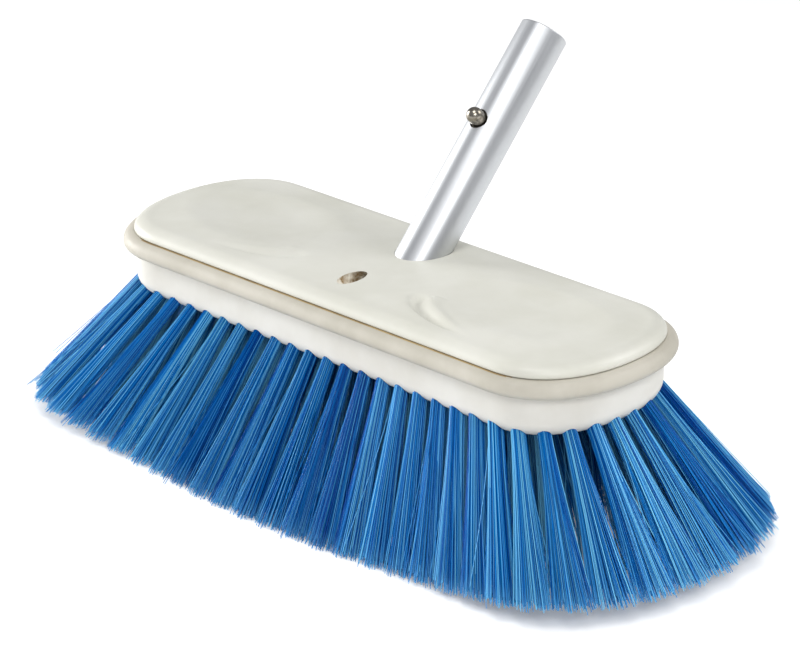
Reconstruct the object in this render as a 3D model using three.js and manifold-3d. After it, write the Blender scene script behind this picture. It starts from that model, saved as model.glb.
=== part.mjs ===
import * as THREE from "three";
import { mergeVertices } from "three/addons/utils/BufferGeometryUtils.js";
import Module from "manifold-3d";

// A wash-down deck brush head: a long moulded head with flared tufts, a soft bumper
// round its waist and a leaning aluminium stub with a sprung button for a pole.
// Millimetres, +Z up, +X along the head, +Y towards the stub. The origin is on the
// plane of the bristle tips, under the middle of the head.

const wasm = await Module();
wasm.setup();

// Plan outline of the head, measured at the outside of the bumper.
const headLength = 257;
const headWidth = 93;
const endLength = 35.5;
const endPower = 2.2;

// Heights above the bristle tips.
const blockBottom = 56.7;
const blockHeight = 16.7;
const bumperHeight = 6.9;
const bumperWaist = 2.6;
const coverEdge = 4.8;
const coverCrown = 1;
const spigotDepth = 3.5;

// How far each piece stands inside the outside of the bumper.
const coverInset = 4.4;
const blockInset = 5.2;
const coreInset = 8.9;
const coverRound = 6.4;
const blockRoundWidth = 5;
const blockRoundHeight = 6;

// Shallow grips in the cover, one short of each end of its straight sides.
const gripFromEnd = 21;
const gripLength = 40;
const gripWidth = 26;
const gripDepth = 1.4;

// Pole stub and its socket.
const stubRadius = 10;
const stubWall = 1.5;
const stubLean = THREE.MathUtils.degToRad(42.4);
const stubBack = 18.1;
const stubLength = 102.3;
const stubBuried = 25;
const stubChamfer = 0.4;

// Sprung button in the stub.
const buttonReach = 56.5;
const buttonRadius = 3.4;
const buttonProud = 6;
const buttonHole = 4.3;
const springWidth = 8;
const springThick = 0.8;
const springBendReach = 26;
const springTail = 6;

// Screw that holds the stub, in a sloping bore through the cover.
const stubScrewFront = 20.5;
const stubScrewReach = 22;
const stubScrewHeadDepth = 9;
const stubScrewBore = 4;
const stubScrewHead = 3.6;
const stubScrewShank = 2.1;
const stubScrewLength = 17;
const screwHeadHeight = 2.4;

// Screws that hold the block to the cover, driven from among the bristles.
const coverScrewHead = 3.5;
const coverScrewShank = 2;
const coverScrewSink = 3;
const coverScrewBite = 5.5;
const coverScrewPastEnd = 4;
const coverScrewPitches = 2.25;

// Tufts. The flare is a tuft's lean from the vertical. Along the rings it grows from the
// middle of the long sides to the ends, where equal bristles therefore end higher.
const tuftRadius = 2.75;
const tuftBuried = 7;
const tuftFan = 0.44;
const flareStart = 45;
const flareEnd = 105;
const rings = [
  { name: "outer", inset: 8.2, tufts: 60, groups: 12, flare: 31.2, endFlare: 41.5, tipThick: 4.5 },
  { name: "second", inset: 17.5, tufts: 48, groups: 8, flare: 23, endFlare: 30, tipThick: 8 },
];
const outerMouth = 2;
const rows = [
  { name: "front", side: -1, tufts: 12, flare: 13, tipThick: 9 },
  { name: "centre", side: 0, tufts: 11, flare: 12, tipThick: 9 },
  { name: "back", side: 1, tufts: 12, flare: 13, tipThick: 9 },
];
const rowFromEnd = 5;
const rowShare = 0.6;
const groupSqueeze = 0.94;
const tipFill = 1.06;
const widenBelow = 0.3;

// Clearances between touching pieces, and how finely curves are cut.
const gap = 0.3;
const endSteps = 8;
const sideSteps = 6;
const stubSides = 28;
const screwSides = 10;
const shortestEdge = 0.02;

const straightHalf = headLength / 2 - endLength;
const gripReach = straightHalf - gripFromEnd;
// The rows end just short of the straight sides, part of the way out to the second ring.
const rowPitch = (2 * (straightHalf - rowFromEnd)) / (rows[0].tufts - 1);
const rowSide = rowShare * (headWidth / 2 - rings[1].inset);
const blockTop = blockBottom + blockHeight;
const bumperBottom = blockTop + gap;
const bumperTop = bumperBottom + bumperHeight;
const bumperShoulder = bumperHeight - bumperWaist;
const coverBottom = bumperTop + gap;
const coverTop = coverBottom + coverEdge;
const spigotBottom = coverBottom - spigotDepth;

// ---- shared shape helpers ----

const power = (value, exponent) => Math.sign(value) * Math.abs(value) ** exponent;

// The head's outline at some inset, anticlockwise from the front right corner. A share
// under 1 draws it in towards the line down the middle of the head.
function outline(inset, share = 1) {
  const depth = headWidth / 2 - inset;
  const reach = endLength - inset;
  const points = [];
  for (const side of [1, -1]) {
    for (let i = 0; i <= endSteps; i++) {
      const turn = -Math.PI / 2 + (Math.PI * i) / endSteps;
      const out = reach * power(Math.cos(turn), 2 / endPower);
      const along = depth * power(Math.sin(turn), 2 / endPower);
      points.push([side * (straightHalf + share * out), side * share * along]);
    }
    for (let i = 1; i < sideSteps; i++) {
      points.push([side * straightHalf * (1 - (2 * i) / sideSteps), side * share * depth]);
    }
  }
  return points;
}

// A closed body from rings of outline points. Each level has an inset, an optional share
// and a height, which may depend on the place. A looped body has a hole down its middle.
function loft(levels, looped = false) {
  const ringsOfPoints = levels.map(({ inset, share, z }) =>
    outline(inset, share).map(([x, y]) => [x, y, typeof z === "function" ? z(x, y) : z]),
  );
  const positions = ringsOfPoints.flat(2);
  const count = ringsOfPoints[0].length;
  const faces = [];
  const joins = looped ? levels.length : levels.length - 1;
  for (let level = 0; level < joins; level++) {
    const low = level * count;
    const high = ((level + 1) % levels.length) * count;
    for (let i = 0; i < count; i++) {
      const next = (i + 1) % count;
      faces.push(low + i, low + next, high + next, low + i, high + next, high + i);
    }
  }
  const geometry = new THREE.BufferGeometry();
  geometry.setAttribute("position", new THREE.Float32BufferAttribute(positions, 3));
  geometry.setIndex(faces);
  return geometry;
}

// The faces of an indexed geometry, without any that has closed up to a line.
function openFaces(geometry) {
  const corners = geometry.index.array;
  const faces = [];
  for (let i = 0; i < corners.length; i += 3) {
    const [a, b, c] = corners.subarray(i, i + 3);
    if (a !== b && b !== c && c !== a) faces.push(a, b, c);
  }
  return faces;
}

// A three.js geometry as a solid, with its shared vertices merged.
function solidOf(geometry) {
  const bare = geometry.clone();
  bare.deleteAttribute("normal");
  bare.deleteAttribute("uv");
  const merged = mergeVertices(bare, 1e-4);
  return new wasm.Manifold(
    new wasm.Mesh({
      numProp: 3,
      vertProperties: new Float32Array(merged.attributes.position.array),
      triVerts: new Uint32Array(openFaces(merged)),
    }),
  );
}

// Cutting leaves a few edges far shorter than any real feature, and these are closed up.
function namedMesh(name, solid, material) {
  const { vertProperties, triVerts } = solid.getMesh();
  const cut = new THREE.BufferGeometry();
  cut.setAttribute("position", new THREE.BufferAttribute(vertProperties, 3));
  cut.setIndex(new THREE.BufferAttribute(triVerts, 1));
  const geometry = mergeVertices(cut, shortestEdge);
  geometry.setIndex(openFaces(geometry));
  geometry.computeVertexNormals();
  const mesh = new THREE.Mesh(geometry, material);
  mesh.name = name;
  return mesh;
}

function material(colour, roughness, metalness) {
  return new THREE.MeshStandardMaterial({ color: colour, roughness, metalness });
}

// A round bar from one point to another.
function bar(from, to, radius, sides = 16) {
  const along = new THREE.Vector3().subVectors(to, from);
  const geometry = new THREE.CylinderGeometry(radius, radius, along.length(), sides);
  const turn = new THREE.Quaternion().setFromUnitVectors(
    new THREE.Vector3(0, 1, 0),
    along.clone().normalize(),
  );
  geometry.applyQuaternion(turn);
  const middle = from.clone().add(to).multiplyScalar(0.5);
  return solidOf(geometry.translate(middle.x, middle.y, middle.z));
}

// ---- places that several pieces share ----

const stubFoot = new THREE.Vector3(0, stubBack, coverTop);
const stubAxis = new THREE.Vector3(0, Math.sin(stubLean), Math.cos(stubLean));
const stubFront = new THREE.Vector3(0, -Math.cos(stubLean), Math.sin(stubLean));
const stubPoint = (reach, out = 0) =>
  stubFoot.clone().addScaledVector(stubAxis, reach).addScaledVector(stubFront, out);

// The stub's screw runs from its mouth in the cover to the wall of the buried stub.
const screwMouth = new THREE.Vector3(0, -stubScrewFront, coverTop);
const screwTarget = stubPoint(-stubScrewReach, stubRadius);
const screwWay = new THREE.Vector3().subVectors(screwTarget, screwMouth).normalize();
const screwPoint = (depth) => screwMouth.clone().addScaledVector(screwWay, depth);

// Each pair of cover screws stands in the gaps between the tufts of two rows.
const coverScrewPairX = coverScrewPitches * rowPitch;
const coverScrewPairY = rowSide / 2;
const coverScrewEndX = straightHalf + coverScrewPastEnd;
const coverScrewPlaces = [
  [-coverScrewEndX, 0],
  [-coverScrewPairX, -coverScrewPairY],
  [-coverScrewPairX, coverScrewPairY],
  [coverScrewPairX, -coverScrewPairY],
  [coverScrewPairX, coverScrewPairY],
  [coverScrewEndX, 0],
];

const stubBore = () =>
  bar(stubPoint(-stubBuried - gap), stubPoint(stubRadius * 2), stubRadius + gap, stubSides);

// The sloping hole for the stub's screw: a wide mouth down to the head, then a way through.
function screwHole() {
  const seat = stubScrewHeadDepth + screwHeadHeight + gap;
  const mouth = bar(screwPoint(-2 * stubRadius), screwPoint(seat), stubScrewBore);
  const wayThrough = screwTarget.clone().addScaledVector(screwWay, 2);
  return mouth.add(bar(screwPoint(0), wayThrough, stubScrewShank + gap));
}

// ---- the head ----

// The cover's upper face: a low crown over the whole, with a shallow grip at each end.
function coverSurface(x, y) {
  const middleShare = Math.min(1, Math.abs(y) / (headWidth / 2 - coverInset - coverRound));
  const endShare = Math.max(0, Math.abs(x) - straightHalf) / (endLength - coverInset - coverRound);
  const crown = coverCrown * Math.max(0, 1 - middleShare ** 2 - endShare ** 2);
  const along = (Math.abs(x) - gripReach) / gripLength;
  const across = y / gripWidth;
  const dip = Math.max(0, 1 - along ** 2 - across ** 2);
  return coverTop + crown - gripDepth * dip * (2 - dip);
}

function topCover() {
  const levels = [
    { inset: coreInset, share: 0, z: spigotBottom },
    { inset: coreInset, z: spigotBottom },
    { inset: coreInset, z: coverBottom },
    { inset: coverInset, z: coverBottom },
  ];
  const roundSteps = 4;
  for (let i = 0; i <= roundSteps; i++) {
    const turn = (Math.PI / 2) * (i / roundSteps);
    const inset = coverInset + coverRound * (1 - Math.cos(turn));
    levels.push({ inset, z: coverBottom + gap + (coverEdge - gap) * Math.sin(turn) });
  }
  for (const share of [0.75, 0.5, 0.25, 0]) {
    levels.push({ inset: coverInset + coverRound, share, z: coverSurface });
  }
  let solid = solidOf(loft(levels));
  solid = solid.subtract(stubBore());
  solid = solid.subtract(screwHole());
  for (const [x, y] of coverScrewPlaces) {
    const low = new THREE.Vector3(x, y, spigotBottom - 1);
    const high = new THREE.Vector3(x, y, spigotBottom + coverScrewBite + gap);
    solid = solid.subtract(bar(low, high, coverScrewShank + gap, screwSides));
  }
  return namedMesh("top_cover", solid, material("#dcdbd1", 0.42, 0));
}

// The bumper is a soft ring gripped between cover and block, with a rounded outside.
function bumperBand() {
  const inner = coreInset - gap;
  const levels = [{ inset: inner, z: bumperBottom }];
  const roundSteps = 3;
  for (let i = 0; i <= roundSteps; i++) {
    const turn = (Math.PI / 2) * (i / roundSteps);
    const inset = bumperWaist * (1 - Math.sin(turn));
    levels.push({ inset, z: bumperBottom + bumperWaist * (1 - Math.cos(turn)) });
  }
  for (let i = 1; i <= roundSteps; i++) {
    const turn = (Math.PI / 2) * (i / roundSteps);
    const inset = coverInset * (1 - Math.cos(turn));
    levels.push({ inset, z: bumperBottom + bumperWaist + bumperShoulder * Math.sin(turn) });
  }
  levels.push({ inset: inner, z: bumperTop });
  return namedMesh("bumper_band", solidOf(loft(levels, true)), material("#cbc6b5", 0.6, 0));
}

function bristleBlock(tufts) {
  const levels = [{ inset: blockInset + blockRoundWidth, share: 0, z: blockBottom }];
  const roundSteps = 2;
  for (let i = 0; i <= roundSteps; i++) {
    const turn = (Math.PI / 2) * (i / roundSteps);
    levels.push({
      inset: blockInset + blockRoundWidth * (1 - Math.sin(turn)),
      z: blockBottom + blockRoundHeight * (1 - Math.cos(turn)),
    });
  }
  levels.push({ inset: blockInset, z: blockTop });
  levels.push({ inset: coreInset, z: blockTop });
  levels.push({ inset: coreInset, z: spigotBottom - gap });
  levels.push({ inset: coreInset, share: 0, z: spigotBottom - gap });
  let solid = solidOf(loft(levels));
  for (const tuft of tufts) solid = solid.subtract(tuftHole(tuft));
  solid = solid.subtract(stubBore());
  solid = solid.subtract(screwHole());
  for (const [x, y] of coverScrewPlaces) {
    const low = new THREE.Vector3(x, y, blockBottom - 1);
    const seat = new THREE.Vector3(x, y, blockBottom + coverScrewSink + gap);
    const high = new THREE.Vector3(x, y, spigotBottom + 1);
    solid = solid.subtract(bar(low, seat, coverScrewHead + gap, screwSides));
    solid = solid.subtract(bar(seat, high, coverScrewShank + gap, screwSides));
  }
  return namedMesh("bristle_block", solid, material("#e6e5df", 0.45, 0));
}

// ---- the pole stub and its button ----

function handleTube() {
  const inner = stubRadius - stubWall;
  const low = -stubBuried;
  const profile = [
    [inner, low],
    [stubRadius - stubChamfer, low],
    [stubRadius, low + stubChamfer],
    [stubRadius, stubLength - stubChamfer],
    [stubRadius - stubChamfer, stubLength],
    [inner, stubLength],
    [inner, low],
  ];
  const points = profile.map(([radius, height]) => new THREE.Vector2(radius, height));
  const geometry = new THREE.LatheGeometry(points, stubSides);
  geometry.rotateX(Math.PI / 2);
  geometry.rotateX(-stubLean);
  geometry.translate(stubFoot.x, stubFoot.y, stubFoot.z);
  let solid = solidOf(geometry);
  const holeFrom = stubPoint(buttonReach, 0);
  const holeTo = stubPoint(buttonReach, stubRadius + 5);
  solid = solid.subtract(bar(holeFrom, holeTo, buttonHole, 20));
  const tapFrom = screwTarget.clone().addScaledVector(screwWay, -5);
  const tapTo = screwTarget.clone().addScaledVector(screwWay, 5);
  solid = solid.subtract(bar(tapFrom, tapTo, stubScrewShank + gap, 16));
  return namedMesh("handle_tube", solid, material("#b9bcbe", 0.32, 1));
}

// A flat shape drawn as (out from the stub's axis towards its front, up the stub),
// cut from strip as wide as the spring and set in the stub.
function stripPiece(name, shape) {
  const geometry = new THREE.ExtrudeGeometry(shape, {
    depth: springWidth,
    bevelEnabled: false,
    curveSegments: 8,
  });
  geometry.translate(0, 0, -springWidth / 2);
  const toStub = new THREE.Matrix4().makeBasis(
    stubFront,
    stubAxis,
    new THREE.Vector3().crossVectors(stubFront, stubAxis),
  );
  geometry.applyMatrix4(toStub.setPosition(stubFoot));
  return namedMesh(name, solidOf(geometry), material("#8f9294", 0.35, 1));
}

const springOut = Math.sqrt((stubRadius - stubWall) ** 2 - (springWidth / 2) ** 2) - gap;
const springIn = springOut - springThick;
const springTop = buttonReach + springTail;

// The fixed leg bears on the back of the stub's bore and carries the round bend.
function buttonSpring() {
  const shape = new THREE.Shape();
  shape.moveTo(springOut, springBendReach);
  shape.lineTo(springIn, springBendReach);
  shape.absarc(0, springBendReach, springIn, 0, -Math.PI, true);
  shape.lineTo(-springIn, springTop);
  shape.lineTo(-springOut, springTop);
  shape.lineTo(-springOut, springBendReach);
  shape.absarc(0, springBendReach, springOut, -Math.PI, 0, false);
  return stripPiece("button_spring", shape);
}

// The other leg of the same strip, which carries the button and swings at the bend.
function buttonArm() {
  const shape = new THREE.Shape();
  shape.moveTo(springOut, springBendReach + gap);
  shape.lineTo(springOut, springTop);
  shape.lineTo(springIn, springTop);
  shape.lineTo(springIn, springBendReach + gap);
  return stripPiece("button_arm", shape);
}

function snapButton() {
  const foot = springOut + gap;
  const tip = stubRadius + buttonProud;
  const domeFoot = tip - buttonRadius;
  const profile = [new THREE.Vector2(0, foot), new THREE.Vector2(buttonRadius, foot)];
  const domeSteps = 5;
  for (let i = 0; i <= domeSteps; i++) {
    const turn = (Math.PI / 2) * (i / domeSteps);
    const radius = i === domeSteps ? 0 : buttonRadius * Math.cos(turn);
    profile.push(new THREE.Vector2(radius, domeFoot + buttonRadius * Math.sin(turn)));
  }
  const geometry = new THREE.LatheGeometry(profile, 16);
  const turn = new THREE.Quaternion().setFromUnitVectors(new THREE.Vector3(0, 1, 0), stubFront);
  geometry.applyQuaternion(turn);
  const place = stubPoint(buttonReach);
  geometry.translate(place.x, place.y, place.z);
  return namedMesh("snap_button", solidOf(geometry), material("#8a8680", 0.25, 1));
}

// ---- screws ----

// A pan-head screw with a cross recess. It is turned up along +Y from the top of its
// head, then set with its head at one point and its shank along a direction.
function panScrew(name, head, headHeight, shank, length, place, way) {
  const point = (radius, height) => new THREE.Vector2(radius, height);
  const profile = [
    point(0, 0),
    point(head * 0.7, 0),
    point(head, headHeight * 0.5),
    point(head, headHeight),
    point(shank, headHeight),
    point(shank, headHeight + length - shank * 1.5),
    point(0, headHeight + length),
  ];
  let solid = solidOf(new THREE.LatheGeometry(profile, screwSides));
  const slotDepth = headHeight * 0.6;
  for (const [wide, long] of [[0.9, head], [head, 0.9]]) {
    const slot = new THREE.BoxGeometry(wide, slotDepth * 2, long);
    solid = solid.subtract(solidOf(slot));
  }
  const mesh = namedMesh(name, solid, material("#a3a5a6", 0.35, 1));
  mesh.quaternion.setFromUnitVectors(new THREE.Vector3(0, 1, 0), way);
  mesh.position.copy(place);
  return mesh;
}

function stubScrew() {
  return panScrew(
    "tube_screw",
    stubScrewHead,
    screwHeadHeight,
    stubScrewShank,
    stubScrewLength,
    screwPoint(stubScrewHeadDepth),
    screwWay,
  );
}

function coverScrews() {
  const headTop = blockBottom + coverScrewSink - screwHeadHeight;
  const length = spigotBottom + coverScrewBite - headTop - screwHeadHeight;
  return coverScrewPlaces.map(([x, y], i) =>
    panScrew(
      `cover_screw_${i + 1}`,
      coverScrewHead,
      screwHeadHeight,
      coverScrewShank,
      length,
      new THREE.Vector3(x, y, headTop),
      new THREE.Vector3(0, 0, 1),
    ),
  );
}

// ---- tufts ----

// How far a tuft moves outwards in X and Y for each millimetre that it goes down.
function tuftSlope(x, y, flare) {
  const way = new THREE.Vector2(tuftFan * x, y);
  if (way.length() > 0) way.normalize();
  return way.multiplyScalar(Math.tan(THREE.MathUtils.degToRad(flare)));
}

// A six-sided section of a tuft, flat towards its neighbours.
function section(centre, z, along, halfWide, halfThick) {
  const across = new THREE.Vector2(-along.y, along.x);
  const corners = [[1, -0.5], [1, 0.5], [0, 1], [-1, 0.5], [-1, -0.5], [0, -1]];
  return corners.map(([a, b]) => [
    centre.x + along.x * a * halfWide + across.x * b * halfThick,
    centre.y + along.y * a * halfWide + across.y * b * halfThick,
    z,
  ]);
}

// A closed body through a stack of six-sided sections, lowest first.
function sectionStack(sections) {
  const sides = 6;
  const faces = [];
  for (let level = 0; level + 1 < sections.length; level++) {
    for (let i = 0; i < sides; i++) {
      const a = level * sides + i;
      const b = level * sides + ((i + 1) % sides);
      faces.push(a, b, b + sides, a, b + sides, a + sides);
    }
  }
  const last = (sections.length - 1) * sides;
  for (let i = 1; i + 1 < sides; i++) {
    faces.push(0, i + 1, i, last, last + i, last + i + 1);
  }
  const geometry = new THREE.BufferGeometry();
  geometry.setAttribute("position", new THREE.Float32BufferAttribute(sections.flat(2), 3));
  geometry.setIndex(faces);
  return solidOf(geometry);
}

const tuftCentre = (tuft, z) =>
  tuft.root.clone().addScaledVector(tuft.slope, tuft.level - z);

// Equal bristles that lean further out end higher above the ground.
function flareAt(ring, x) {
  const share = THREE.MathUtils.smoothstep(Math.abs(x), flareStart, flareEnd);
  return THREE.MathUtils.lerp(ring.flare, ring.endFlare, share);
}

function tipHeight(ring, level, flare) {
  const toRadians = THREE.MathUtils.degToRad;
  return level * (1 - Math.cos(toRadians(flare)) / Math.cos(toRadians(ring.flare)));
}

// Across its lean a tuft is as wide as it is round. A level cut is longer along the lean.
function rootSection(tuft, z, extra) {
  const lean = Math.hypot(1, tuft.slope.length());
  const flat = tuftRadius * Math.cos(Math.PI / 6) + extra;
  const point = (tuftRadius + extra * 1.2) * lean;
  return section(tuftCentre(tuft, z), z, tuft.tipAlong, flat, point);
}

function tuftBody(tuft) {
  const widen = blockBottom - widenBelow;
  return sectionStack([
    section(tuft.tip, tuft.tipLevel, tuft.tipAlong, tuft.tipWide, tuft.tipThick),
    rootSection(tuft, widen, 0),
    rootSection(tuft, tuft.level + tuftBuried, 0),
  ]);
}

function tuftHole(tuft) {
  return sectionStack([
    rootSection(tuft, blockBottom - 4, gap),
    rootSection(tuft, tuft.level + tuftBuried + gap, gap),
  ]);
}

// Points spaced evenly round the outline at some inset, by distance from the front.
function ringWalker(inset) {
  const loop = outline(inset).map(([x, y]) => new THREE.Vector2(x, y));
  loop.push(loop[0].clone());
  const lengths = [0];
  for (let i = 1; i < loop.length; i++) {
    lengths.push(lengths[i - 1] + loop[i].distanceTo(loop[i - 1]));
  }
  const total = lengths[lengths.length - 1];
  const walk = (share) => {
    const distance = ((((share * total - straightHalf) % total) + total) % total);
    const i = Math.max(1, lengths.findIndex((length) => length >= distance));
    const part = (distance - lengths[i - 1]) / (lengths[i] - lengths[i - 1]);
    return loop[i - 1].clone().lerp(loop[i], part);
  };
  return walk;
}

// A ring's tufts, in groups whose tips close up on each other and leave the next group free.
function ringTufts(ring) {
  const walk = ringWalker(ring.inset);
  const perGroup = ring.tufts / ring.groups;
  const level = blockBottom + (ring.name === "outer" ? outerMouth : 0);
  const tipAt = (share) => {
    const root = walk(share);
    const flare = flareAt(ring, root.x);
    const drop = level - tipHeight(ring, level, flare);
    return root.clone().addScaledVector(tuftSlope(root.x, root.y, flare), drop);
  };
  const groups = [];
  for (let g = 0; g < ring.groups; g++) {
    const middle = (g + 0.5) / ring.groups;
    const tufts = [];
    for (let k = 0; k < perGroup; k++) {
      const share = (g * perGroup + k + 0.5) / ring.tufts;
      const root = walk(share);
      const tipShare = middle + (share - middle) * groupSqueeze;
      const ahead = tipAt(tipShare + 0.5 / ring.tufts);
      const behind = tipAt(tipShare - 0.5 / ring.tufts);
      const flare = flareAt(ring, root.x);
      tufts.push({
        root,
        slope: tuftSlope(root.x, root.y, flare),
        level,
        tip: tipAt(tipShare),
        tipLevel: tipHeight(ring, level, flare),
        tipAlong: ahead.clone().sub(behind).normalize(),
        tipWide: (ahead.distanceTo(behind) / 2) * tipFill,
        tipThick: ring.tipThick,
      });
    }
    groups.push({ name: `bristle_${ring.name}_${String(g + 1).padStart(2, "0")}`, tufts });
  }
  return groups;
}

// A straight row's tufts lean out more and more towards its ends.
function rowTufts(row) {
  const tufts = [];
  const half = (row.tufts - 1) / 2;
  for (let k = 0; k < row.tufts; k++) {
    const root = new THREE.Vector2((k - half) * rowPitch, row.side * rowSide);
    const flare = row.side === 0 ? (row.flare * Math.abs(k - half)) / half : row.flare;
    const slope = tuftSlope(root.x, root.y, flare);
    const tip = root.clone().addScaledVector(slope, blockBottom);
    tufts.push({ root, slope, level: blockBottom, tip, tipLevel: 0, tipThick: row.tipThick });
  }
  tufts.forEach((tuft, k) => {
    const ahead = tufts[Math.min(k + 1, tufts.length - 1)].tip;
    const behind = tufts[Math.max(k - 1, 0)].tip;
    const span = k > 0 && k + 1 < tufts.length ? 2 : 1;
    tuft.tipAlong = ahead.clone().sub(behind).normalize();
    tuft.tipWide = (ahead.distanceTo(behind) / span / 2) * tipFill;
  });
  return [{ name: `bristle_row_${row.name}`, tufts }];
}

function tuftGroup({ name, tufts }) {
  const solid = tufts.map(tuftBody).reduce((whole, next) => whole.add(next));
  return namedMesh(name, solid, material("#2479c8", 0.5, 0));
}

// ---- the whole brush ----

const tuftGroups = [...rings.flatMap(ringTufts), ...rows.flatMap(rowTufts)];

const group = new THREE.Group();
group.add(topCover());
group.add(bumperBand());
group.add(bristleBlock(tuftGroups.flatMap(({ tufts }) => tufts)));
group.add(handleTube());
group.add(buttonSpring());
group.add(buttonArm());
group.add(snapButton());
group.add(stubScrew());
for (const screw of coverScrews()) group.add(screw);
for (const tufts of tuftGroups) group.add(tuftGroup(tufts));

export default group;
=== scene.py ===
import math

import bmesh
import bpy
import numpy as np
from mathutils import Matrix, Vector


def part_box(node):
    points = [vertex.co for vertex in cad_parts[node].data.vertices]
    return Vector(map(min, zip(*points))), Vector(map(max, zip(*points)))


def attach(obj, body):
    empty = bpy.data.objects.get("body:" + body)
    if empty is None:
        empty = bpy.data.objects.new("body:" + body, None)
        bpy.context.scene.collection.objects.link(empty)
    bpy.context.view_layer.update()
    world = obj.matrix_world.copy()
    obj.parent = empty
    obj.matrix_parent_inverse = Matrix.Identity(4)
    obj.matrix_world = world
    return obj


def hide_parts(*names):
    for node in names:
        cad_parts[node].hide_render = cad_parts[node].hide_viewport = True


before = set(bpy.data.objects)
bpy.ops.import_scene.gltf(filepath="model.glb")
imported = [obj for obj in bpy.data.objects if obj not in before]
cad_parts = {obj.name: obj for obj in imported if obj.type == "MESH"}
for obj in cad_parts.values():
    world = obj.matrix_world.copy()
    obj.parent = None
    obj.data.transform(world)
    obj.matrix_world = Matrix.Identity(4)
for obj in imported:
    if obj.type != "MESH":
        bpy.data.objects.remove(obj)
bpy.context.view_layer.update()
print("frame loaded with", len(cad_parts), "nodes")

mm = 0.001
scene = bpy.context.scene


# small tools

def linear(hexColour):
    # an sRGB hex colour as the linear colour that Blender's sockets hold
    parts = [int(hexColour[i:i + 2], 16) / 255 for i in (0, 2, 4)]
    return tuple(p / 12.92 if p <= 0.04045 else ((p + 0.055) / 1.055) ** 2.4 for p in parts) + (1.0,)


def shownSocket(sockets, name=None):
    return next(s for s in sockets if s.enabled and name in (None, s.name))


def addNode(tree, kind, inputs=None, **settings):
    # a node with its settings; an input is a value, a socket, or a node whose first output is used
    node = tree.nodes.new(kind)
    for name, value in settings.items():
        setattr(node, name, value)
    for key, value in (inputs or {}).items():
        socket = node.inputs[key] if isinstance(key, int) else shownSocket(node.inputs, key)
        if isinstance(value, bpy.types.Node):
            value = shownSocket(value.outputs)
        if isinstance(value, bpy.types.NodeSocket):
            tree.links.new(value, socket)
        else:
            socket.default_value = value
    return node


def newObject(name, mesh):
    made = bpy.data.objects.new(name, mesh)
    scene.collection.objects.link(made)
    return made


def setPoints(name, places, **attributes):
    # loose points with attributes: a list of vectors or a list of numbers for each
    mesh = bpy.data.meshes.new(name)
    mesh.from_pydata(places, [], [])
    for label, values in attributes.items():
        isVector = isinstance(values[0], Vector)
        made = mesh.attributes.new(label, "FLOAT_VECTOR" if isVector else "FLOAT", "POINT")
        flat = np.array(values, dtype=np.float32).ravel()
        made.data.foreach_set("vector" if isVector else "value", flat)
    return newObject(name, mesh)


def plainMesh(obj, name):
    # an object with its modifiers applied, as a new plain object; the old one is removed
    bpy.context.view_layer.update()
    depsgraph = bpy.context.evaluated_depsgraph_get()
    mesh = bpy.data.meshes.new_from_object(obj.evaluated_get(depsgraph))
    mesh.name = name
    bpy.data.objects.remove(obj)
    return newObject(name, mesh)


def tidyMesh(obj, sharpAngle=40, merge=0.002 * mm):
    # doubles merged, faces outwards, smooth except where the surface turns sharply
    shape = bmesh.new()
    shape.from_mesh(obj.data)
    bmesh.ops.remove_doubles(shape, verts=shape.verts, dist=merge)
    bmesh.ops.dissolve_degenerate(shape, dist=merge, edges=shape.edges)
    bmesh.ops.recalc_face_normals(shape, faces=shape.faces)
    shape.to_mesh(obj.data)
    shape.free()
    obj.data.shade_smooth()
    obj.data.set_sharp_from_angle(angle=math.radians(sharpAngle))
    return obj


def cutAway(obj, cutters, name):
    # the object less its cutters, which are removed
    for cutter in cutters:
        cut = obj.modifiers.new("cut", "BOOLEAN")
        cut.operation = "DIFFERENCE"
        cut.solver = "MANIFOLD"
        cut.object = cutter
    made = plainMesh(obj, name)
    for cutter in cutters:
        bpy.data.objects.remove(cutter)
    return made


def finishPiece(obj, material, body, slot, *nodesReplaced):
    if material:
        obj.data.materials.clear()
        obj.data.materials.append(material)
    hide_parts(*nodesReplaced)
    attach(obj, body)
    return obj


def turned(name, profile, place, axis, side, sides=72):
    # a closed body of revolution: profile holds (radius, height along the axis)
    across = axis.cross(side)
    points = []
    faces = []
    for radius, height in profile:
        for k in range(sides):
            a = 2 * math.pi * k / sides
            points.append(place + axis * height + (side * math.cos(a) + across * math.sin(a)) * radius)
    rows = len(profile)
    for row in range(rows):
        for k in range(sides):
            following = (k + 1) % sides
            upper = (row + 1) % rows
            faces.append((row * sides + k, row * sides + following,
                          upper * sides + following, upper * sides + k))
    mesh = bpy.data.meshes.new(name)
    mesh.from_pydata(points, [], faces)
    made = newObject(name, mesh)
    return tidyMesh(made)


def arcProfile(centreRadius, centreHeight, radius, start, end, steps):
    # points of a round corner in a profile, with angles in degrees from straight out
    points = []
    for i in range(steps + 1):
        a = math.radians(start + (end - start) * i / steps)
        points.append((centreRadius + radius * math.cos(a), centreHeight + radius * math.sin(a)))
    return points


# sizes that the pieces share; the outside boxes come from the frame

bumperLow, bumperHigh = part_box("bumper_band")

head = {
    "endLength": 35.5 * mm,   # the rounded part of the plan at each end
    "endPower": 2.2,
    "coverInset": 4.4 * mm,   # how far each piece stands inside the bumper's outside
    "blockInset": 5.2 * mm,
    "coreInset": 8.9 * mm,
    "gap": 0.3 * mm,
    "coverEdge": 4.8 * mm,
}
headLength = bumperHigh.x - bumperLow.x
headWidth = bumperHigh.y - bumperLow.y
straightHalf = headLength / 2 - head["endLength"]
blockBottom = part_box("bristle_block")[0].z
coverBottom = bumperHigh.z + head["gap"]
coverTop = coverBottom + head["coverEdge"]
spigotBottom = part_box("top_cover")[0].z

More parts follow.
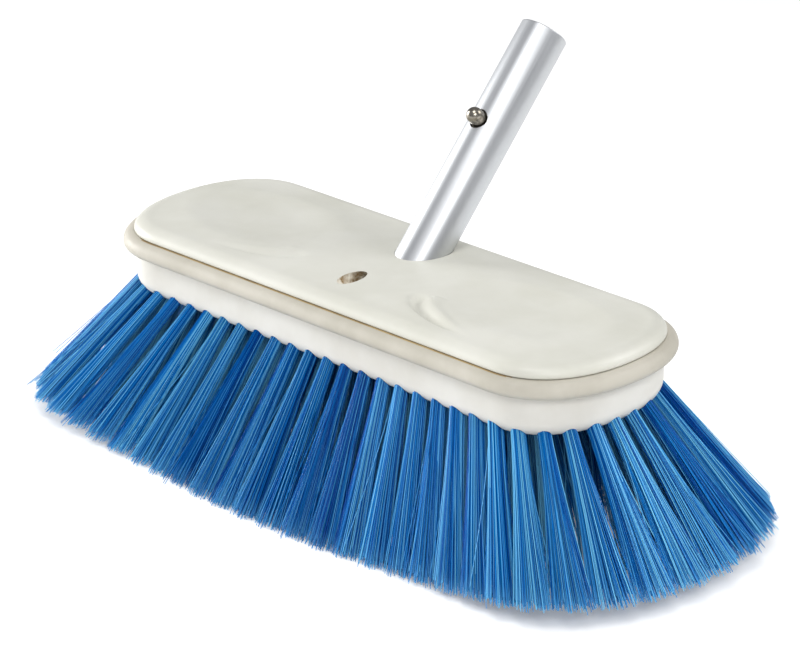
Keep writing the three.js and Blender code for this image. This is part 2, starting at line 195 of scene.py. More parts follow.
stub = {
    "radius": 10 * mm,
    "wall": 1.5 * mm,
    "lean": 42.4,             # degrees from the vertical, towards +Y
    "back": 18.1 * mm,
    "length": 102.3 * mm,
    "buried": 25 * mm,
    "rimRound": 0.45 * mm,
    "buttonReach": 56.5 * mm,
    "buttonHole": 4.1 * mm,
    "sinkDepth": 0.25 * mm, "sinkWider": 0.9 * mm, "drillPast": 1.2 * mm, "drillDepth": 4 * mm,
}
stubFoot = Vector((0, stub["back"], coverTop))
stubAxis = Vector((0, math.sin(math.radians(stub["lean"])), math.cos(math.radians(stub["lean"]))))
stubFront = Vector((0, -stubAxis.z, stubAxis.y))
sideways = Vector((1, 0, 0))


def stubPoint(reach, out=0.0):
    return stubFoot + stubAxis * reach + stubFront * out


def power(value, exponent):
    return math.copysign(abs(value) ** exponent, value)


def headOutline(inset, share=1.0, endSteps=48, sideSteps=110):
    depth = headWidth / 2 - inset
    reach = head["endLength"] - inset
    points = []
    for side in (1, -1):
        for i in range(endSteps + 1):
            turn = -math.pi / 2 + math.pi * i / endSteps
            out = reach * power(round(math.cos(turn), 9), 2 / head["endPower"])
            along = depth * power(math.sin(turn), 2 / head["endPower"])
            points.append((side * (straightHalf + share * out), side * share * along))
        for i in range(1, sideSteps):
            points.append((side * straightHalf * (1 - 2 * i / sideSteps), side * share * depth))
    return points


def loft(name, levels, looped=False):
    # a closed body through levels of (inset, share, height); a height may be a function of the place
    points = []
    for inset, share, height in levels:
        for x, y in headOutline(inset, share):
            points.append((x, y, height(x, y) if callable(height) else height))
    count = len(points) // len(levels)
    faces = []
    for level in range(len(levels) if looped else len(levels) - 1):
        low = level * count
        high = (level + 1) % len(levels) * count
        for i in range(count):
            following = (i + 1) % count
            faces.append((low + i, low + following, high + following, high + i))
    mesh = bpy.data.meshes.new(name)
    mesh.from_pydata(points, [], faces)
    return tidyMesh(newObject(name, mesh))


# camera, lights and floor

camera = {
    "azimuth": 44.44, "elevation": 22.44, "roll": 0.06,
    "distance": 1.4082,
    "aim": Vector((0, 0, 0.07625)),
    "aside": 3.475 * mm, "down": 18.41 * mm,
    "lens": 161.52,
}


def makeCamera():
    a, e = math.radians(camera["azimuth"]), math.radians(camera["elevation"])
    back = Vector((math.sin(a) * math.cos(e), -math.cos(a) * math.cos(e), math.sin(e)))
    roll = Matrix.Rotation(math.radians(camera["roll"]), 3, "Z")
    turn = back.to_track_quat("Z", "Y").to_matrix() @ roll
    data = bpy.data.cameras.new("camera")
    data.lens = camera["lens"]
    data.sensor_width = 36
    data.clip_start, data.clip_end = 0.05, 20
    made = bpy.data.objects.new("camera", data)
    scene.collection.objects.link(made)
    place = camera["aim"] + back * camera["distance"]
    place += turn @ Vector((camera["aside"], -camera["down"], 0))
    made.matrix_world = Matrix.Translation(place) @ turn.to_4x4()
    scene.camera = made


studio = {
    "worldColour": "f7f9ff", "worldStrength": 0.34,
    "floorColour": "fafaf9", "floorGlow": 0.22, "floorReach": 6.0,
    "lamps": [
        # name, place, size, watts
        ("key", (0.2, -0.3, 1.1), 0.5, 3.9),
        ("tubeLight", (0.78, -0.53, 0.75), 0.4, 4.2),
        ("fillLeft", (-1.3, -0.42, 0.38), 0.6, 18.0),
        ("rim", (0.6, 0.75, 0.75), 0.6, 4.0),
    ],
}


def makeStudio():
    world = bpy.data.worlds.new("studio")
    world.use_nodes = True
    background = world.node_tree.nodes["Background"]
    background.inputs["Color"].default_value = linear(studio["worldColour"])
    background.inputs["Strength"].default_value = studio["worldStrength"]
    scene.world = world
    target = Vector((0, 0, 0.07))
    for name, place, size, watts in studio["lamps"]:
        data = bpy.data.lights.new(name, "AREA")
        data.shape = "DISK"
        data.size = size
        data.energy = watts
        lamp = bpy.data.objects.new(name, data)
        scene.collection.objects.link(lamp)
        lamp.location = Vector(place)
        lamp.rotation_mode = "QUATERNION"
        lamp.rotation_quaternion = (lamp.location - target).to_track_quat("Z", "Y")
    floorMesh = bpy.data.meshes.new("floor")
    reach = studio["floorReach"]
    corners = [(-reach, -reach, 0), (reach, -reach, 0), (reach, reach, 0), (-reach, reach, 0)]
    floorMesh.from_pydata(corners, [], [(0, 1, 2, 3)])
    floor = newObject("floor", floorMesh)
    paper = bpy.data.materials.new("studio paper")
    paper.use_nodes = True
    shader = paper.node_tree.nodes["Principled BSDF"]
    shader.inputs["Base Color"].default_value = linear(studio["floorColour"])
    shader.inputs["Roughness"].default_value = 0.9
    shader.inputs["Specular IOR Level"].default_value = 0.1
    shader.inputs["Emission Color"].default_value = linear(studio["floorColour"])
    shader.inputs["Emission Strength"].default_value = studio["floorGlow"]
    floor.data.materials.append(paper)


makeCamera()
makeStudio()
scene.view_settings.view_transform = "Standard"
print("camera, lights and floor placed")


# materials

def startMaterial(name, roughness, metallic=0.0, specular=0.5):
    made = bpy.data.materials.new(name)
    made.use_nodes = True
    tree = made.node_tree
    shader = tree.nodes["Principled BSDF"]
    shader.inputs["Roughness"].default_value = roughness
    shader.inputs["Metallic"].default_value = metallic
    shader.inputs["Specular IOR Level"].default_value = specular
    where = addNode(tree, "ShaderNodeTexCoord").outputs["Object"]
    return made, tree, shader, where


def twoTones(tree, pattern, dark, darkAt, pale, paleAt):
    tone = addNode(tree, "ShaderNodeValToRGB", {"Fac": pattern.outputs["Fac"]})
    low, high = tone.color_ramp.elements
    low.position, low.color = darkAt, linear(dark)
    high.position, high.color = paleAt, linear(pale)
    return tone


def mouldedPlastic(name, pale, dark, roughness, patchSize, grainSize, grainDepth):
    # injection-moulded plastic: faint cloudy patches in the colour, a fine orange-peel skin
    # and small scuffs that are duller than the rest
    made, tree, shader, where = startMaterial(name, roughness)
    clouds = addNode(tree, "ShaderNodeTexNoise",
                     {"Vector": where, "Scale": 1 / patchSize, "Detail": 4.0, "Roughness": 0.6})
    tone = twoTones(tree, clouds, dark, 0.34, pale, 0.62)
    tree.links.new(tone.outputs["Color"], shader.inputs["Base Color"])
    scuffs = addNode(tree, "ShaderNodeTexNoise",
                     {"Vector": where, "Scale": 1 / (9 * mm), "Detail": 5.0, "Roughness": 0.65})
    dullness = addNode(tree, "ShaderNodeMapRange",
                       {"Value": scuffs.outputs["Fac"], "From Min": 0.3, "From Max": 0.7,
                        "To Min": roughness - 0.06, "To Max": roughness + 0.09})
    tree.links.new(dullness.outputs["Result"], shader.inputs["Roughness"])
    grain = addNode(tree, "ShaderNodeTexNoise",
                    {"Vector": where, "Scale": 1 / grainSize, "Detail": 2.0})
    bump = addNode(tree, "ShaderNodeBump",
                   {"Height": grain.outputs["Fac"], "Strength": 0.5, "Distance": grainDepth})
    tree.links.new(bump.outputs["Normal"], shader.inputs["Normal"])
    return made


# Drawn aluminium tube: bright satin metal with fine lines along its length.
def drawnAluminium():
    made, tree, shader, where = startMaterial("drawn aluminium", 0.4, metallic=1.0)
    shader.inputs["Base Color"].default_value = linear("c9cbcd")
    # the pattern's Z is turned to the tube's axis, and it is stretched along it
    turn = addNode(tree, "ShaderNodeMapping", {"Vector": where}, vector_type="TEXTURE")
    turn.inputs["Rotation"].default_value = (-math.radians(stub["lean"]), 0, 0)
    lines = addNode(tree, "ShaderNodeMapping", {"Vector": turn})
    lines.inputs["Scale"].default_value = (1 / (0.5 * mm), 1 / (0.5 * mm), 1 / (60 * mm))
    drawn = addNode(tree, "ShaderNodeTexNoise", {"Vector": lines, "Scale": 1.0, "Detail": 3.0})
    dull = addNode(tree, "ShaderNodeMapRange",
                   {"Value": drawn.outputs["Fac"], "To Min": 0.34, "To Max": 0.52})
    tree.links.new(dull.outputs["Result"], shader.inputs["Roughness"])
    bump = addNode(tree, "ShaderNodeBump",
                   {"Height": drawn.outputs["Fac"], "Strength": 0.25, "Distance": 0.02 * mm})
    tree.links.new(bump.outputs["Normal"], shader.inputs["Normal"])
    return made


def wornMetal(name, pale, dark, roughness, patchSize):
    # plated or rolled steel: two close tones in small patches, duller where handled
    made, tree, shader, where = startMaterial(name, roughness, metallic=1.0)
    patches = addNode(tree, "ShaderNodeTexNoise",
                      {"Vector": where, "Scale": 1 / patchSize, "Detail": 4.0})
    tone = twoTones(tree, patches, dark, 0.35, pale, 0.65)
    tree.links.new(tone.outputs["Color"], shader.inputs["Base Color"])
    dull = addNode(tree, "ShaderNodeMapRange",
                   {"Value": patches.outputs["Fac"],
                    "To Min": roughness - 0.08, "To Max": roughness + 0.1})
    tree.links.new(dull.outputs["Result"], shader.inputs["Roughness"])
    return made


def nylonFilament():
    # drawn nylon: saturated blue with a satin sheen; each filament has its own shade, which carries the
    # painted light of its kind of tuft, and the cut ends are paler because they are frayed
    made, tree, shader, where = startMaterial("drawn nylon filament", 0.22, specular=0.6)
    shader.inputs["Specular Tint"].default_value = linear("80c8ff")
    shade = addNode(tree, "ShaderNodeAttribute", attribute_name="shade")
    along = addNode(tree, "ShaderNodeAttribute", attribute_name="along")
    tone = twoTones(tree, shade, "00429a", 0.1, "7cd2f8", 0.9)
    tone.color_ramp.elements.new(0.5).color = linear("0a7ccc")
    tips = addNode(tree, "ShaderNodeMapRange",
                   {"Value": along.outputs["Fac"], "From Min": 0.9, "From Max": 1.0,
                    "To Min": 0.0, "To Max": 0.35})
    frayed = addNode(tree, "ShaderNodeMix",
                     {"Factor": tips.outputs["Result"], "A": tone.outputs["Color"],
                      "B": linear("74c4ee")},
                     data_type="RGBA")
    tree.links.new(shownSocket(frayed.outputs), shader.inputs["Base Color"])
    return made


coverPlastic = mouldedPlastic("moulded cover plastic", "dad9cf", "d1d0c4", 0.4,
                              45 * mm, 1.6 * mm, 0.03 * mm)
blockPlastic = mouldedPlastic("moulded block plastic", "e5e3dc", "dad7ce", 0.4,
                              38 * mm, 1.4 * mm, 0.03 * mm)
bumperVinyl = mouldedPlastic("soft bumper vinyl", "c4bfb2", "b8b3a5", 0.55,
                             22 * mm, 0.9 * mm, 0.04 * mm)
# the bore's wall: rough and pale, with painted brown shade in patches
roughShadedBore = mouldedPlastic("rough bore wall with painted shade", "f4f0e2", "84683a", 0.8, 5 * mm, 0.7 * mm, 0.15 * mm)
# a darker brown for the front of the strip under the cover's edge
frontSeamBrown = mouldedPlastic("front seam brown", "b39c70", "96805a", 0.8, 12 * mm, 0.8 * mm, 0.05 * mm)
aluminium = drawnAluminium()
nickelPlate = wornMetal("dull nickel plate", "aaa498", "7d766b", 0.24, 1.6 * mm)
springSteel = wornMetal("rolled spring steel", "9a9c9e", "7c7e80", 0.32, 2.5 * mm)
zincPlate = wornMetal("zinc-plated steel", "b8bab9", "93989b", 0.34, 1.2 * mm)
filament = nylonFilament()
print("materials made")


# top cover

cover = {
    "round": 6.4 * mm,
    "crown": 1.0 * mm,
    "lowerRound": 0.4 * mm,
    "gripReach": 72 * mm, "gripLength": 40 * mm, "gripWidth": 26 * mm, "gripDepth": 1.4 * mm,
    "boreGap": 0.12 * mm,
    "screwFront": 20.5 * mm, "screwReach": 22 * mm, "screwBore": 4 * mm, "screwSeat": 11.7 * mm,
    "screwShank": 2.4 * mm,
    "roughShadedBelow": 0.6 * mm,
}
screwMouth = Vector((0, -cover["screwFront"], coverTop))
screwTarget = stubPoint(-cover["screwReach"], stub["radius"])
screwWay = (screwTarget - screwMouth).normalized()


def smooth(value):
    value = min(1.0, max(0.0, value))
    return value * value * (3 - 2 * value)


# The flute beside each grip: its crisp edge runs from its nose out to the front corner.
flute = {
    "nose": (27.5 * mm, -16 * mm), "control": (31 * mm, -32.5 * mm), "tail": (74 * mm, -34 * mm),
    "width": 9.5 * mm, "leastWidth": 1.5 * mm, "depth": 2.0 * mm,
    "deepest": 0.34,          # where it is deepest, as a share of its width from the crisp edge
    "fadeIn": 0.2, "fadeOut": 0.4,   # shares of its length
    "ridge": 1.0 * mm, "ridgeWide": 0.3,
    "leftShare": 0.3,
}
fluteSteps = 48
flutePath = []
for i in range(fluteSteps + 1):
    t = i / fluteSteps
    nose, control, tail = (Vector(flute[key]) for key in ("nose", "control", "tail"))
    flutePath.append((t, nose * (1 - t) ** 2 + control * 2 * t * (1 - t) + tail * t * t))


def fluteHeight(x, y):
    share = 1.0 if x > 0 else flute["leftShare"]
    place = Vector((abs(x), y))
    best, inside, where = 1.0, 0.0, 0.0
    for k in range(len(flutePath) - 1):
        t, start = flutePath[k]
        step = flutePath[k + 1][1] - start
        along = min(1.0, max(0.0, (place - start).dot(step) / step.length_squared))
        offset = place - (start + step * along)
        if offset.length < best:
            best = offset.length
            inside = step.x * offset.y - step.y * offset.x
            where = t + along / fluteSteps
    if inside < 0:
        return 0.0
    width = flute["leastWidth"] + flute["width"] * (1 - where) ** 0.7
    across = best / width
    fadeFrom = 1 - flute["fadeOut"]
    fade = smooth(where / flute["fadeIn"]) * (1 - smooth((where - fadeFrom) / flute["fadeOut"]))
    if across < flute["deepest"]:
        drop = smooth(across / flute["deepest"])
    else:
        drop = 1 - smooth((across - flute["deepest"]) / (1 - flute["deepest"]))
    hump = math.exp(-((across - 1.1) / flute["ridgeWide"]) ** 2)
    return share * fade * (flute["ridge"] * hump - flute["depth"] * drop)


def coverSurface(x, y):
    flatHalf = headWidth / 2 - head["coverInset"] - cover["round"]
    flatEnd = head["endLength"] - head["coverInset"] - cover["round"]
    middleShare = min(1.0, abs(y) / flatHalf)
    endShare = max(0.0, abs(x) - straightHalf) / flatEnd
    height = coverTop + cover["crown"] * smooth(1 - middleShare ** 2 - endShare ** 2)
    along = (abs(x) - cover["gripReach"]) / cover["gripLength"]
    dip = max(0.0, 1 - along ** 2 - (y / cover["gripWidth"]) ** 2)
    height -= cover["gripDepth"] * smooth(dip)
    return height + fluteHeight(x, y)


def makeCover():
    lower = cover["lowerRound"]
    levels = [
        (head["coreInset"], 0.0, spigotBottom),
        (head["coreInset"], 1.0, spigotBottom),
        (head["coreInset"], 1.0, coverBottom),
        (head["coverInset"] + lower, 1.0, coverBottom),
        (head["coverInset"] + lower * 0.3, 1.0, coverBottom + lower * 0.3),
    ]
    roundSteps = 14
    foot = coverBottom + lower
    for i in range(roundSteps + 1):
        turn = math.pi / 2 * i / roundSteps
        levels.append((head["coverInset"] + cover["round"] * (1 - math.cos(turn)), 1.0,
                       foot + (coverTop - foot) * math.sin(turn)))
    topSteps = 40
    for i in range(1, topSteps + 1):
        levels.append((head["coverInset"] + cover["round"], 1 - i / topSteps, coverSurface))
    solid = loft("cover blank", levels)
    bore = turned("bore", [(0, -stub["buried"]), (stub["radius"] + cover["boreGap"], -stub["buried"]),
                           (stub["radius"] + cover["boreGap"], 30 * mm), (0, 30 * mm)],
                  stubFoot, stubAxis, sideways, 96)
    mouth = cover["screwBore"]
    screwBore = turned("screw bore", [(0, -20 * mm), (mouth, -20 * mm), (mouth, cover["screwSeat"]),
                                      (cover["screwShank"], cover["screwSeat"]),
                                      (cover["screwShank"], 22 * mm), (0, 22 * mm)],
                       screwMouth, screwWay, sideways, 64)
    made = cutAway(solid, [bore, screwBore], "cover_shell")
    tidyMesh(made, 38)
    made = finishPiece(made, coverPlastic, "head", "cover_plastic", "top_cover")
    # the wall of the screw's bore was left rough; its colour is mottled with painted brown shade,
    # standing for the shade deep in the bore
    made.data.materials.append(roughShadedBore)
    for face in made.data.polygons:
        offset = face.center - screwMouth
        depth = offset.dot(screwWay)
        if (offset - screwWay * depth).length < mouth * 1.01 and depth > -0.5 * mouth:
            if face.center.z < coverTop - cover["roughShadedBelow"] or face.normal.z < 0.8:
                face.material_index = 1
    return made


makeCover()
print("cover made")


# bumper

bumper = {"waist": 2.6 * mm, "innerGap": 0.3 * mm, "roundSteps": 12}


def makeBumper():
    low, high = bumperLow.z, bumperHigh.z
    waist = bumper["waist"]
    inner = head["coreInset"] - bumper["innerGap"]
    levels = [(inner, 1.0, low)]
    steps = bumper["roundSteps"]
    for i in range(steps + 1):
        turn = math.pi / 2 * i / steps
        levels.append((waist * (1 - math.sin(turn)), 1.0, low + waist * (1 - math.cos(turn))))
    for i in range(1, steps + 1):
        turn = math.pi / 2 * i / steps
        levels.append((head["coverInset"] * (1 - math.cos(turn)), 1.0,
                       low + waist + (high - low - waist) * math.sin(turn)))
    levels.append((inner, 1.0, high))
    made = loft("bumper_ring", levels, looped=True)
    made = finishPiece(made, bumperVinyl, "head", "bumper_vinyl", "bumper_band")
    # the strip that runs under the cover is a darker brown at the front
    made.data.materials.append(frontSeamBrown)
    for face in made.data.polygons:
        onFront = face.center.y < 0 and abs(face.center.x) < straightHalf + 8 * mm
        if onFront and face.center.z > high - 0.02 * mm:
            face.material_index = 1
    return made


makeBumper()
print("bumper made")


# tufts: where each one stands and where its tips end

tufts = {
    "radius": 2.5 * mm,
    "outerMouth": 2 * mm,
    "outerShift": 0.5 * mm,   # the outer tufts crowd the outer side of their holes
    "fan": 0.44,              # how much of a tuft's lean follows its place along the head
    "flareStart": 45 * mm, "flareEnd": 105 * mm,
    "groupSqueeze": 0.94, "tipFill": 1.06,
    "rowFromEnd": 5 * mm, "rowShare": 0.6, "rowFill": 1.2,
}
ringKinds = [
    {"name": "outer", "inset": 8.2 * mm, "count": 60, "groups": 12, "flare": 31.2, "endFlare": 41.5,
     "tipThick": 4.5 * mm},
    {"name": "second", "inset": 17.5 * mm, "count": 48, "groups": 8, "flare": 23, "endFlare": 30,
     "tipThick": 8 * mm},
]
rowKinds = [
    {"name": "front", "side": -1, "count": 12, "flare": 13, "tipThick": 9 * mm},
    {"name": "centre", "side": 0, "count": 11, "flare": 12, "tipThick": 9 * mm},
    {"name": "back", "side": 1, "count": 12, "flare": 13, "tipThick": 9 * mm},
]


def tuftSlope(x, y, flare):
    # how far a tuft moves outwards for each unit that it goes down
    way = Vector((tufts["fan"] * x, y))
    if way.length > 0:
        way.normalize()
    return way * math.tan(math.radians(flare))


def ringWalker(inset):
    # points spaced evenly round the outline, from the middle of the front
    loop = [Vector(p) for p in headOutline(inset, 1.0, 8, 6)]
    loop.append(loop[0])
    lengths = [0.0]
    for start, end in zip(loop, loop[1:]):
        lengths.append(lengths[-1] + (end - start).length)

    def walk(share):
        distance = (share * lengths[-1] - straightHalf) % lengths[-1]
        i = max(1, next(k for k, length in enumerate(lengths) if length >= distance))
        part = (distance - lengths[i - 1]) / (lengths[i] - lengths[i - 1])
        return loop[i - 1].lerp(loop[i], part)

    return walk


def ringGroups(ring):
    walk = ringWalker(ring["inset"])
    perGroup = ring["count"] // ring["groups"]
    outer = ring["name"] == "outer"
    level = blockBottom + (tufts["outerMouth"] if outer else 0)
    shift = tufts["outerShift"] if outer else 0

    def leanAt(x):
        span = tufts["flareEnd"] - tufts["flareStart"]
        share = smooth((abs(x) - tufts["flareStart"]) / span)
        return ring["flare"] + (ring["endFlare"] - ring["flare"]) * share

    def tipHeight(flare):
        # equal bristles that lean further out end higher
        return level * (1 - math.cos(math.radians(flare)) / math.cos(math.radians(ring["flare"])))

    def tipAt(share):
        root = walk(share)
        flare = leanAt(root.x)
        return root + tuftSlope(root.x, root.y, flare) * (level - tipHeight(flare))

    groups = []
    for g in range(ring["groups"]):
        middle = (g + 0.5) / ring["groups"]
        members = []
        for k in range(perGroup):
            share = (g * perGroup + k + 0.5) / ring["count"]
            root = walk(share)
            tipShare = middle + (share - middle) * tufts["groupSqueeze"]
            ahead = tipAt(tipShare + 0.5 / ring["count"])
            behind = tipAt(tipShare - 0.5 / ring["count"])
            flare = leanAt(root.x)
            members.append({
                "root": root + tuftSlope(root.x, root.y, 45) * shift,
                "level": level, "slope": tuftSlope(root.x, root.y, flare),
                "tip": tipAt(share), "tipLevel": tipHeight(flare),
                "along": (ahead - behind).normalized(),
                "wide": (ahead - behind).length / 2 * tufts["tipFill"], "thick": ring["tipThick"],
            })
        groups.append((f"bristle_{ring['name']}_{g + 1:02d}", members))
    return groups


rowPitch = 2 * (straightHalf - tufts["rowFromEnd"]) / (rowKinds[0]["count"] - 1)
rowSide = tufts["rowShare"] * (headWidth / 2 - ringKinds[1]["inset"])


def rowGroup(row):
    side = row["side"] * rowSide
    half = (row["count"] - 1) / 2
    members = []
    for k in range(row["count"]):
        root = Vector(((k - half) * rowPitch, side))
        flare = row["flare"] * abs(k - half) / half if row["side"] == 0 else row["flare"]
        slope = tuftSlope(root.x, root.y, flare)
        members.append({"root": root, "level": blockBottom, "slope": slope,
                        "tip": root + slope * blockBottom, "tipLevel": 0.0,
                        "along": Vector((1, 0)), "wide": rowPitch / 2 * tufts["rowFill"],
                        "thick": row["tipThick"]})
    return [(f"bristle_row_{row['name']}", members)]


ringSets = [ringGroups(ring) for ring in ringKinds]
rowSets = [rowGroup(row) for row in rowKinds]
allTufts = [tuft for groups in ringSets + rowSets for name, members in groups for tuft in members]


def withHeight(flat, height=0.0):
    return Vector((flat.x, flat.y, height))


def tuftPoints(name, members):
    # one vertex for each tuft, with the vectors that its filaments need
    vectors = {"tip": [], "tipWide": [], "tipThick": [], "rootWide": [], "rootThick": [], "rootWay": []}
    for t in members:
        along = withHeight(t["along"])
        across = Vector((-along.y, along.x, 0))
        stretch = math.hypot(1, t["slope"].length)
        vectors["tip"].append(withHeight(t["tip"], t["tipLevel"]))
        vectors["tipWide"].append(along * t["wide"])
        vectors["tipThick"].append(across * t["thick"])
        vectors["rootWide"].append(along * tufts["radius"])
        vectors["rootThick"].append(across * tufts["radius"] * stretch)
        vectors["rootWay"].append(withHeight(t["slope"], -1.0).normalized())
    return setPoints(name, [withHeight(t["root"], t["level"]) for t in members], **vectors)


# geometry trees

def startTree(name, inputs):
    tree = bpy.data.node_groups.new(name, "GeometryNodeTree")
    tree.interface.new_socket(name="Geometry", in_out="OUTPUT", socket_type="NodeSocketGeometry")
    tree.interface.new_socket(name="Geometry", in_out="INPUT", socket_type="NodeSocketGeometry")
    for label, kind in inputs.items():
        tree.interface.new_socket(name=label, in_out="INPUT", socket_type="NodeSocket" + kind)
    return tree, tree.nodes.new("NodeGroupInput").outputs


def endTree(tree, geometry, material):
    real = addNode(tree, "GeometryNodeRealizeInstances", {"Geometry": geometry})
    painted = addNode(tree, "GeometryNodeSetMaterial", {"Geometry": real, "Material": material})
    addNode(tree, "NodeGroupOutput", {"Geometry": painted})


def maths(tree, operation, *values):
    return addNode(tree, "ShaderNodeMath", dict(enumerate(values)), operation=operation)


def vectorMaths(tree, operation, *values):
    return addNode(tree, "ShaderNodeVectorMath", dict(enumerate(values)), operation=operation)


def scaled(tree, vector, factor):
    return addNode(tree, "ShaderNodeVectorMath", {0: vector, "Scale": factor}, operation="SCALE")


def blended(tree, factor, first, second, kind):
    inputs = {"Factor": factor, "A": first, "B": second}
    return addNode(tree, "ShaderNodeMix", inputs, data_type=kind)


def attributeNode(tree, label, kind="FLOAT_VECTOR"):
    return addNode(tree, "GeometryNodeInputNamedAttribute", {"Name": label}, data_type=kind)


def stored(tree, geometry, label, value, kind):
    inputs = {"Geometry": geometry, "Name": label, "Value": value}
    return addNode(tree, "GeometryNodeStoreNamedAttribute", inputs, data_type=kind, domain="POINT")


def runTree(tree, obj, values, name):
    modifier = obj.modifiers.new(tree.name, "NODES")
    modifier.node_group = tree
    for item in tree.interface.items_tree:
        if item.in_out == "INPUT" and item.name in values:
            modifier[item.identifier] = values[item.name]
    return plainMesh(obj, name)


disorder = {
    "wander": 0.09,           # share of the tuft's radius
    "strayPower": 30.0,       # a higher power gives fewer strays
    "raggedPower": 1.6,
    "sharedShade": 0.25,      # how much of a filament's shade is its tuft's
}


# Each tuft point becomes many filaments. A filament starts in its hole, follows the tuft's
# way for a while, then bends towards its own tip.
def filamentTree():
    tree, given = startTree("filaments", {
        "Filaments": "Int", "Thickness": "Float", "Steps": "Int", "Bend": "Float", "Depth": "Float",
        "Ragged": "Float", "Stray": "Float", "PaintedLightShift": "Float", "Seed": "Int"})
    named = {label: attributeNode(tree, label)
             for label in ("tip", "tipWide", "tipThick", "rootWide", "rootThick", "rootWay")}
    points = addNode(tree, "GeometryNodeMeshToPoints", {"Mesh": given["Geometry"]})
    tuftShade = addNode(tree, "FunctionNodeRandomValue", {"Seed": given["Seed"]}, data_type="FLOAT")
    shaded = stored(tree, points, "tuftShade", tuftShade, "FLOAT")
    copies = addNode(tree, "GeometryNodeDuplicateElements",
                     {"Geometry": shaded, "Amount": given["Filaments"]}, domain="POINT")
    order = copies.outputs["Duplicate Index"]

    # an even spiral over a disc, with a little disorder
    part = maths(tree, "ADD", order, 0.5)
    share = maths(tree, "DIVIDE", part, given["Filaments"])
    radius = maths(tree, "SQRT", share)
    goldenTurn = math.pi * (3 - math.sqrt(5))
    angle = maths(tree, "MULTIPLY", order, goldenTurn)
    sine = maths(tree, "SINE", angle)
    cosine = maths(tree, "COSINE", angle)
    wander = disorder["wander"]
    jitter = addNode(tree, "FunctionNodeRandomValue",
                     {"Min": (-wander, -wander, 0), "Max": (wander, wander, 0), "Seed": given["Seed"]},
                     data_type="FLOAT_VECTOR")
    jitterParts = addNode(tree, "ShaderNodeSeparateXYZ", {0: jitter})
    aside = maths(tree, "MULTIPLY_ADD", radius, cosine, jitterParts.outputs["X"])
    outward = maths(tree, "MULTIPLY_ADD", radius, sine, jitterParts.outputs["Y"])

    # the place in the mouth of the hole, then the start deeper in the block
    centre = addNode(tree, "GeometryNodeInputPosition")
    wideRoot = scaled(tree, named["rootWide"], aside)
    thickRoot = scaled(tree, named["rootThick"], outward)
    rootOffset = vectorMaths(tree, "ADD", wideRoot, thickRoot)
    mouth = vectorMaths(tree, "ADD", centre, rootOffset)
    inward = scaled(tree, named["rootWay"], given["Depth"])
    start = vectorMaths(tree, "SUBTRACT", mouth, inward)

    # the tip, with a ragged length and now and then a stray
    wideTip = scaled(tree, named["tipWide"], aside)
    thickTip = scaled(tree, named["tipThick"], outward)
    tipOffset = vectorMaths(tree, "ADD", wideTip, thickTip)
    evenTip = vectorMaths(tree, "ADD", named["tip"], tipOffset)
    chance = addNode(tree, "FunctionNodeRandomValue", {"Seed": 11}, data_type="FLOAT")
    rare = maths(tree, "POWER", chance, disorder["strayPower"])
    strayReach = maths(tree, "MULTIPLY", rare, given["Stray"])
    anyWay = addNode(tree, "FunctionNodeRandomValue",
                     {"Min": (-1, -1, 0), "Max": (1, 1, 0.4), "Seed": 23}, data_type="FLOAT_VECTOR")
    strayOffset = scaled(tree, anyWay, strayReach)
    strayTip = vectorMaths(tree, "ADD", evenTip, strayOffset)
    spread = addNode(tree, "FunctionNodeRandomValue", {"Seed": 37}, data_type="FLOAT")
    uneven = maths(tree, "POWER", spread, disorder["raggedPower"])
    shortBy = maths(tree, "MULTIPLY", uneven, given["Ragged"])
    end = blended(tree, shortBy, strayTip, mouth, "VECTOR")

    # the bend point lies on the tuft's own way
    whole = vectorMaths(tree, "DISTANCE", end, start)
    bendReach = maths(tree, "MULTIPLY", whole.outputs["Value"], given["Bend"])
    bendOffset = scaled(tree, named["rootWay"], bendReach)
    bend = vectorMaths(tree, "ADD", start, bendOffset)
    oneShade = addNode(tree, "FunctionNodeRandomValue", {"Seed": 41}, data_type="FLOAT")
    sharedShade = attributeNode(tree, "tuftShade", "FLOAT")
    mixedShade = blended(tree, disorder["sharedShade"], oneShade, sharedShade, "FLOAT")
    # the painted light for the tuft's kind is added to the filament's own tone
    ownShade = maths(tree, "ADD", mixedShade, given["PaintedLightShift"])

    held = copies
    for label, value, kind in (("start", start, "FLOAT_VECTOR"), ("bend", bend, "FLOAT_VECTOR"),
                               ("end", end, "FLOAT_VECTOR"), ("shade", ownShade, "FLOAT")):
        held = stored(tree, held, label, value, kind)

    line = addNode(tree, "GeometryNodeCurvePrimitiveLine", {"End": (0, 0, 1)})
    stepCount = maths(tree, "ADD", given["Steps"], 1.0)
    stepped = addNode(tree, "GeometryNodeResampleCurve", {"Curve": line, "Count": stepCount})
    strands = addNode(tree, "GeometryNodeInstanceOnPoints", {"Points": held, "Instance": stepped})
    real = addNode(tree, "GeometryNodeRealizeInstances", {"Geometry": strands})
    factor = addNode(tree, "GeometryNodeSplineParameter").outputs["Factor"]
    kept = {label: attributeNode(tree, label)
            for label in ("start", "bend", "end")}
    first = blended(tree, factor, kept["start"], kept["bend"], "VECTOR")
    second = blended(tree, factor, kept["bend"], kept["end"], "VECTOR")
    place = blended(tree, factor, first, second, "VECTOR")
    bent = addNode(tree, "GeometryNodeSetPosition", {"Geometry": real, "Position": place})
    marked = stored(tree, bent, "along", factor, "FLOAT")
    half = maths(tree, "MULTIPLY", given["Thickness"], 0.5)
    section = addNode(tree, "GeometryNodeCurvePrimitiveCircle", {"Resolution": 3, "Radius": half})
    tubes = addNode(tree, "GeometryNodeCurveToMesh",
                    {"Curve": marked, "Profile Curve": section, "Fill Caps": True})
    rounded = addNode(tree, "GeometryNodeSetShadeSmooth", {"Geometry": tubes, "Shade Smooth": True})
    endTree(tree, rounded, filament)
    return tree


